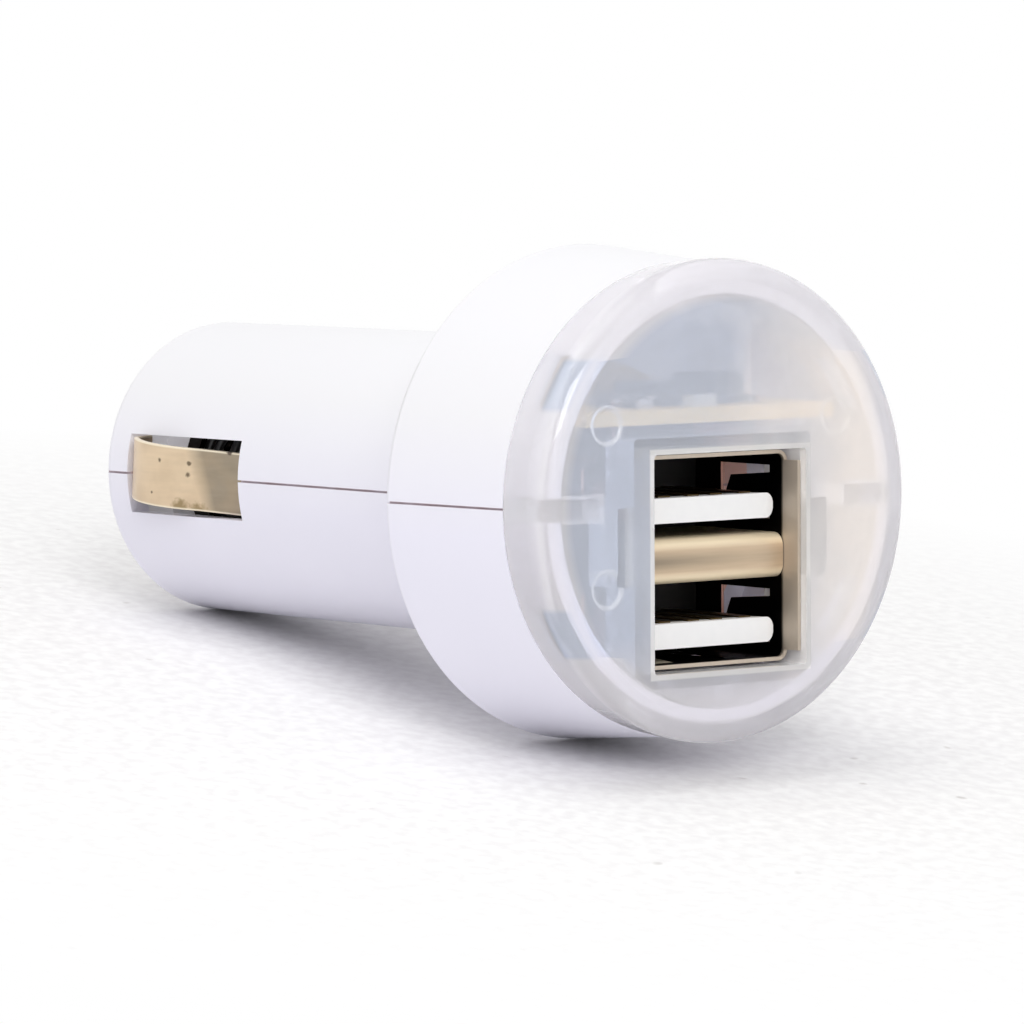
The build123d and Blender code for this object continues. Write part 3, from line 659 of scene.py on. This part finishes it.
# Painted warm light: the cut edges of the slits are reddish.
off_middle = apart(tree, y)
past_inner = rising(tree, off_middle, side_wall + hair, side_wall + 3.0 * hair)
outer_wall = side_wall + shell_sheet
before_outer = falling(tree, off_middle, outer_wall - 3.0 * hair, outer_wall - hair)
sheet = two_tone(tree, all_of(tree, inside, past_inner, before_outer), sheet, warm_lit_cut_edge)
beside = apart(tree, y, floor_finger_y)
on_finger = all_of(tree, falling(tree, beside, floor_finger_half, floor_finger_half + finger_fade),
                   rising(tree, x, floor_finger_back, floor_finger_back + finger_fade),
                   falling(tree, x, floor_finger_front - finger_fade, floor_finger_front))
sheet = two_tone(tree, on_finger, sheet, lit_finger)
roughness = reckon(tree, "ADD", spread(tree, brushed, 0.30, 0.45), spread(tree, inside, 0.25, 0.0))
drive(tree, shader, {"Base Color": sheet, "Metallic": spread(tree, on_finger, 1.0, 0.1),
                     "Roughness": roughness})
raised(tree, shader, brushed, 0.004, 0.3)
work = copied("usb_shell")
for corner in work.verts:
    point = in_plug(corner.co)
    at_end = abs(point.x - finger_end) < hair and abs(point.y) > side_wall - hair
    inward = math.copysign(finger_bend, point.y)
    for middle in finger_middles:
        if at_end and abs(abs(point.z - middle) - finger_half) < hair:
            if point.z > middle:
                corner.co = in_row(point.x + upper_reach, point.y - inward, point.z - upper_drop)
            else:
                corner.co = in_row(point.x - lower_reach, point.y - inward, point.z)
stands_for("usb_shell", "port_shell", work, shell_metal, "plug")

# Divider: a strip of plated steel folded over between the two sockets and held in the shell.
# Its rolled edges carry a painted highlight, and its middle is painted darker as shade, most towards negative
# y.
stack_z = -3.88
shade_from, shade_to, shade_near, shade_far, fold_start, fold_end = 0.1, 0.8, -5.0, 3.0, 0.7, 1.15
strip_plating = (0.56, 0.43, 0.295), (0.71, 0.55, 0.39)
shaded_middle, strip_edge_highlight = (0.20, 0.17, 0.13), (0.98, 0.84, 0.60)
strip_metal, tree, shader = new_finish("strip_metal", {})
place = plug_place(tree)
_, y, z = axes(tree, place)
brushed = mottle(tree, stretched(tree, place, (1.0, 0.3, 5.0)), 1.0, 3.0)
off_middle = apart(tree, z, stack_z)
# Painted shade on the middle, most towards negative y, and a painted highlight on the rolled edges.
middle_shade = all_of(tree, spread(tree, off_middle, 0.75, 0.0, shade_from, shade_to),
                spread(tree, y, 1.0, 0.35, shade_near, shade_far))
roll_highlight = spread(tree, off_middle, 0.0, 0.85, fold_start, fold_end)
plating = two_tone(tree, middle_shade, two_tone(tree, brushed, *strip_plating), shaded_middle)
drive(tree, shader, {"Base Color": two_tone(tree, roll_highlight, plating, strip_edge_highlight),
                     "Metallic": spread(tree, roll_highlight, 0.6, 0.25),
                     "Roughness": spread(tree, brushed, 0.24, 0.40)})
raised(tree, shader, brushed, 0.008, 0.3)
dress(strip_metal, "usb_divider")

# Tongues: one white nylon moulding with a tongue for each socket, pushed into the shell from behind.
# The tongues' ends are rounded, and no light reaches the moulding behind their front.
tongue_front, tongue_middles, tongue_half = 13.55, (-0.53, -8.83), 0.85
round_start, round_reach, round_back, end_from = 4.9, 0.77, 0.1, 12.5
unlit_end, lit_start = 12.3, 12.9
pale_nylon = (0.84, 0.84, 0.85), (0.90, 0.90, 0.90)
unlit_nylon = (0.02, 0.02, 0.02)
white_nylon, tree, shader = new_finish("white_nylon", {"IOR": 1.53})
place = plug_place(tree)
x = axes(tree, place)[0]
cloud = mottle(tree, place, 1.1)
nylon = two_tone(tree, cloud, *pale_nylon)
nylon = two_tone(tree, falling(tree, x, unlit_end, lit_start), nylon, unlit_nylon)
drive(tree, shader, {"Base Color": nylon, "Roughness": spread(tree, cloud, 0.35, 0.5)})
work = copied("usb_insulator")
for corner in work.verts:
    point = in_plug(corner.co)
    past = (abs(point.y) - round_start) / round_reach
    for middle in tongue_middles:
        rise = point.z - middle
        if point.x > end_from and past > 0.0 and abs(rise) < tongue_half + hair:
            half = tongue_half * math.sqrt(max(0.0, 1.0 - past * past))
            corner.co = in_row(tongue_front - round_back * past * past, point.y,
                               middle + math.copysign(min(abs(rise), half), rise))
stands_for("usb_insulator", "tongue_moulding", work, white_nylon, "plug")

# Contacts: four gold-plated strips along each tongue, stamped and pressed into the moulding.
# Plugs have wiped fine lines along them, and they lie in the shade of the shell.
shaded_gold = (0.07, 0.045, 0.02), (0.12, 0.08, 0.035)
contact_gold, tree, shader = new_finish("contact_gold", {"Metallic": 1.0})
wiped = mottle(tree, stretched(tree, plug_place(tree), (0.3, 5.0, 1.0)), 1.0)
drive(tree, shader, {"Base Color": two_tone(tree, wiped, *shaded_gold),
                     "Roughness": spread(tree, wiped, 0.3, 0.45)})
dress(contact_gold, "upper_port_contacts", "lower_port_contacts")

# Front cap: milky clear polycarbonate, moulded with its window shroud, keys and snap hooks, and
# pressed over the housing's ring.  The melt is cloudy all through, most at the rim, the keys and the
# edges.  Its face is painted cool grey-blue as shade towards negative y, warm as light towards positive
# y and paler lavender towards the bottom.  The ring's snap windows are painted on its rounded edge as
# blue-grey patches of shade, the shroud's walls are tinted darker grey-blue, and the window's lip and
# the pads' edges carry painted highlight lines.
inner_face, behind_face = 14.4, 14.6
ring_inside, ring_fade, thin_from, thinned, thickened = 13.9, 0.35, 5.3, 0.7, -1.15
snap_foot, snap_head, snap_fade, patch_end, patch_gone = 6.5, 9.6, 0.2, 9.55, 9.85
waver, warm_start, warm_full, low_full, low_start = 4.0, -1.0, 11.0, -13.0, -8.5
rounded_from, rounded_to, skirt_end, edge_start = 15.0, 15.45, 13.8, 14.2
key_half, key_start, key_end = 0.95, 10.2, 13.7
shroud_side, shroud_reach = 7.67, 0.25
window_half_width, window_half_height, lip_start, lip_end = 6.62, 7.22, 0.30, 0.42
pad_across, pad_up, pad_radius, pad_line, pad_fade = 9.94, 5.35, 1.2, 0.10, 0.20
shaded_cool_face, lit_warm_face, low_face = (0.82, 0.86, 0.96), (1.0, 0.955, 0.925), (0.93, 0.905, 0.945)
rim_melt, snap_window_shade, key_melt = (0.90, 0.885, 0.915), (0.70, 0.755, 0.86), (0.98, 0.965, 0.99)
shroud_melt, edge_highlight_line = (0.56, 0.60, 0.70), (1.0, 0.985, 0.955)
clear_moulding, tree, shader = new_finish("clear_moulding", {"IOR": 1.42})
place = plug_place(tree)
x, y, z = axes(tree, place)
sideways, up_or_down = apart(tree, y), apart(tree, z)
from_axis = off_axis(tree, place)
thin_end = reckon(tree, "ADD", spread(tree, up_or_down, 0.0, thinned, thin_from, snap_head),
                  spread(tree, up_or_down, 0.0, thickened, snap_head, snap_head + snap_fade))
past_ring = reckon(tree, "SUBTRACT", from_axis, reckon(tree, "ADD", thin_end, ring_inside))
rim = rising(tree, past_ring, -ring_fade, ring_fade)
# Painted shade: the snap windows are blue-grey patches on the rounded edge.
by_window = all_of(tree, rising(tree, up_or_down, snap_foot - snap_fade, snap_foot + snap_fade),
                   falling(tree, up_or_down, patch_end, patch_gone),
                   rising(tree, from_axis, rounded_from, rounded_to), rising(tree, x, skirt_end, edge_start))
# Painted light and shade: the face is warm towards positive y and cool grey-blue towards negative y.
wavering = reckon(tree, "ADD", y, spread(tree, mottle(tree, place, 0.15), -waver, waver))
far_side = rising(tree, wavering, warm_start, warm_full)
low = falling(tree, z, low_full, low_start)
on_key = all_of(tree, below(tree, up_or_down, key_half), above(tree, sideways, key_start),
                below(tree, sideways, key_end), below(tree, x, behind_face))
on_shroud = all_of(tree, below(tree, apart(tree, sideways, shroud_side), shroud_reach),
                   below(tree, x, inner_face), below(tree, from_axis, ring_inside))
# Painted highlight lines round the window's lip and the pads' edges, where the melt is also cloudier.
past_width = reckon(tree, "SUBTRACT", sideways, window_half_width)
past_height = reckon(tree, "SUBTRACT", apart(tree, z, stack_z), window_half_height)
window_lip = spread(tree, most_of(tree, past_width, past_height), 0.8, 0.0, lip_start, lip_end)
from_pad = tree.nodes.new("ShaderNodeCombineXYZ")
tree.links.new(reckon(tree, "SUBTRACT", sideways, pad_across), from_pad.inputs["Y"])
tree.links.new(reckon(tree, "SUBTRACT", up_or_down, pad_up), from_pad.inputs["Z"])
off_pad_edge = apart(tree, length_of(tree, from_pad.outputs["Vector"]), pad_radius)
pad_edge = all_of(tree, spread(tree, off_pad_edge, 0.8, 0.0, pad_line, pad_fade), below(tree, x, behind_face))
edges = most_of(tree, window_lip, pad_edge)
melt = two_tone(tree, low, two_tone(tree, far_side, shaded_cool_face, lit_warm_face), low_face)
tints_shade_and_highlights = ((rim, rim_melt), (by_window, snap_window_shade), (on_key, key_melt),
           (on_shroud, shroud_melt), (edges, edge_highlight_line))
for share, colour in tints_shade_and_highlights:
    melt = two_tone(tree, share, melt, colour)
milky = most_of(tree, spread(tree, rim, 0.0, 0.3), spread(tree, far_side, 0.0, 0.75), edges,
                spread(tree, low, 0.0, 0.3), spread(tree, on_key, 0.0, 0.8))
clear_share = all_of(tree, spread(tree, milky, 0.68, 0.42), spread(tree, pad_edge, 1.0, 0.7))
drive(tree, shader, {"Base Color": melt, "Transmission Weight": clear_share,
                     "Roughness": spread(tree, mottle(tree, place, 0.6), 0.02, 0.04)})
raised(tree, shader, mottle(tree, place, 1.2), 0.001, 0.2)
lets_light_in(tree, shader, 0.7)
dress(clear_moulding, "front_cap")

# Floor: a pale sheet with a fine grain and a few flecks, which the plug lies on.
# Away from the plug it runs out to white, as the camera, gloss and glass see it.
floor_half, white_from, white_to = 3.0, 0.042, 0.09
pale_grain, dark_fleck = ((0.87, 0.86, 0.86), (0.95, 0.945, 0.94)), (0.55, 0.52, 0.50)


def seen_directly(tree):
    """Share of light that the camera sees at once, or by way of gloss or glass."""
    ray = tree.nodes.new("ShaderNodeLightPath").outputs
    return most_of(tree, ray["Is Camera Ray"], ray["Is Glossy Ray"], ray["Is Transmission Ray"])


floor_mesh = bpy.data.meshes.new("floor")
corners = [(x * floor_half, y * floor_half, 0.0) for x, y in ((-1, -1), (1, -1), (1, 1), (-1, 1))]
floor_mesh.from_pydata(corners, [], [(0, 1, 2, 3)])
floor = bpy.data.objects.new("floor", floor_mesh)
bpy.context.collection.objects.link(floor)
pale_sheet, tree, shader = new_finish("pale_sheet", {"Roughness": 0.9, "Specular IOR Level": 0.1})
where = tree.nodes.new("ShaderNodeTexCoord").outputs["Object"]
sheet = two_tone(tree, rising(tree, mottle(tree, where, 900.0, 2.0), 0.35, 0.65), *pale_grain)
fleck = spread(tree, mottle(tree, where, 420.0, 1.0), 0.0, 0.6, 0.76, 0.82)
drive(tree, shader, {"Base Color": two_tone(tree, fleck, sheet, dark_fleck)})
far = rising(tree, length_of(tree, where), white_from, white_to)
white_light = tree.nodes.new("ShaderNodeEmission")
white_share = all_of(tree, far, seen_directly(tree))
part_way(tree, white_share, shader.outputs["BSDF"], white_light.outputs["Emission"])
floor.data.materials.append(pale_sheet)

# Studio light: a wide soft lamp overhead, a smaller one before the plug's face, and white air
# all round that glows more from above than from the sides.
side_glow, top_glow, top_from = 0.26, 0.66, 0.6


def lamp(name, place, aim, size, power):
    """Square soft lamp that faces a point."""
    data = bpy.data.lights.new(name, "AREA")
    data.size = size
    data.energy = power
    made = bpy.data.objects.new(name, data)
    bpy.context.collection.objects.link(made)
    made.location = place
    made.rotation_euler = (Vector(place) - Vector(aim)).to_track_quat("Z", "Y").to_euler()


scene = bpy.context.scene
scene.view_settings.view_transform = "Standard"
air = bpy.data.worlds.new("white_air")
scene.world = air
air.use_nodes = True
tree = air.node_tree
sky = tree.nodes["Background"]
sky.inputs["Color"].default_value = (1.0, 1.0, 1.0, 1.0)
seen = seen_directly(tree)
up = axes(tree, tree.nodes.new("ShaderNodeTexCoord").outputs["Generated"])[2]
glow = all_of(tree, spread(tree, up, side_glow, top_glow, 0.0, top_from), reckon(tree, "SUBTRACT", 1.0, seen))
tree.links.new(reckon(tree, "ADD", glow, seen), sky.inputs["Strength"])
lamp("key_lamp", place=(-0.02, -0.18, 0.65), aim=(0.0, 0.0, 0.02), size=0.45, power=1.34)
lamp("front_lamp", place=(0.40, -0.22, 0.34), aim=(0.0, 0.0, 0.015), size=0.2, power=1.12)

# Camera: the photograph's own view, with a long lens a little above the floor.
# It looks down at the plug's face and side, and is rolled a few degrees.
camera_place = (0.351708, -0.284839, 0.098333)
azimuth, elevation, roll = (math.radians(angle) for angle in (50.383, 10.736, 5.439))
camera_data = bpy.data.cameras.new("camera")
camera_data.lens = 232.86
camera_data.sensor_width = 36.0
camera_data.clip_start = 0.01
camera = bpy.data.objects.new("camera", camera_data)
bpy.context.collection.objects.link(camera)
turn = Matrix.Rotation(azimuth, 4, "Z") @ Matrix.Rotation(math.pi / 2 - elevation, 4, "X")
camera.matrix_world = Matrix.Translation(camera_place) @ turn @ Matrix.Rotation(roll, 4, "Z")
scene.camera = camera
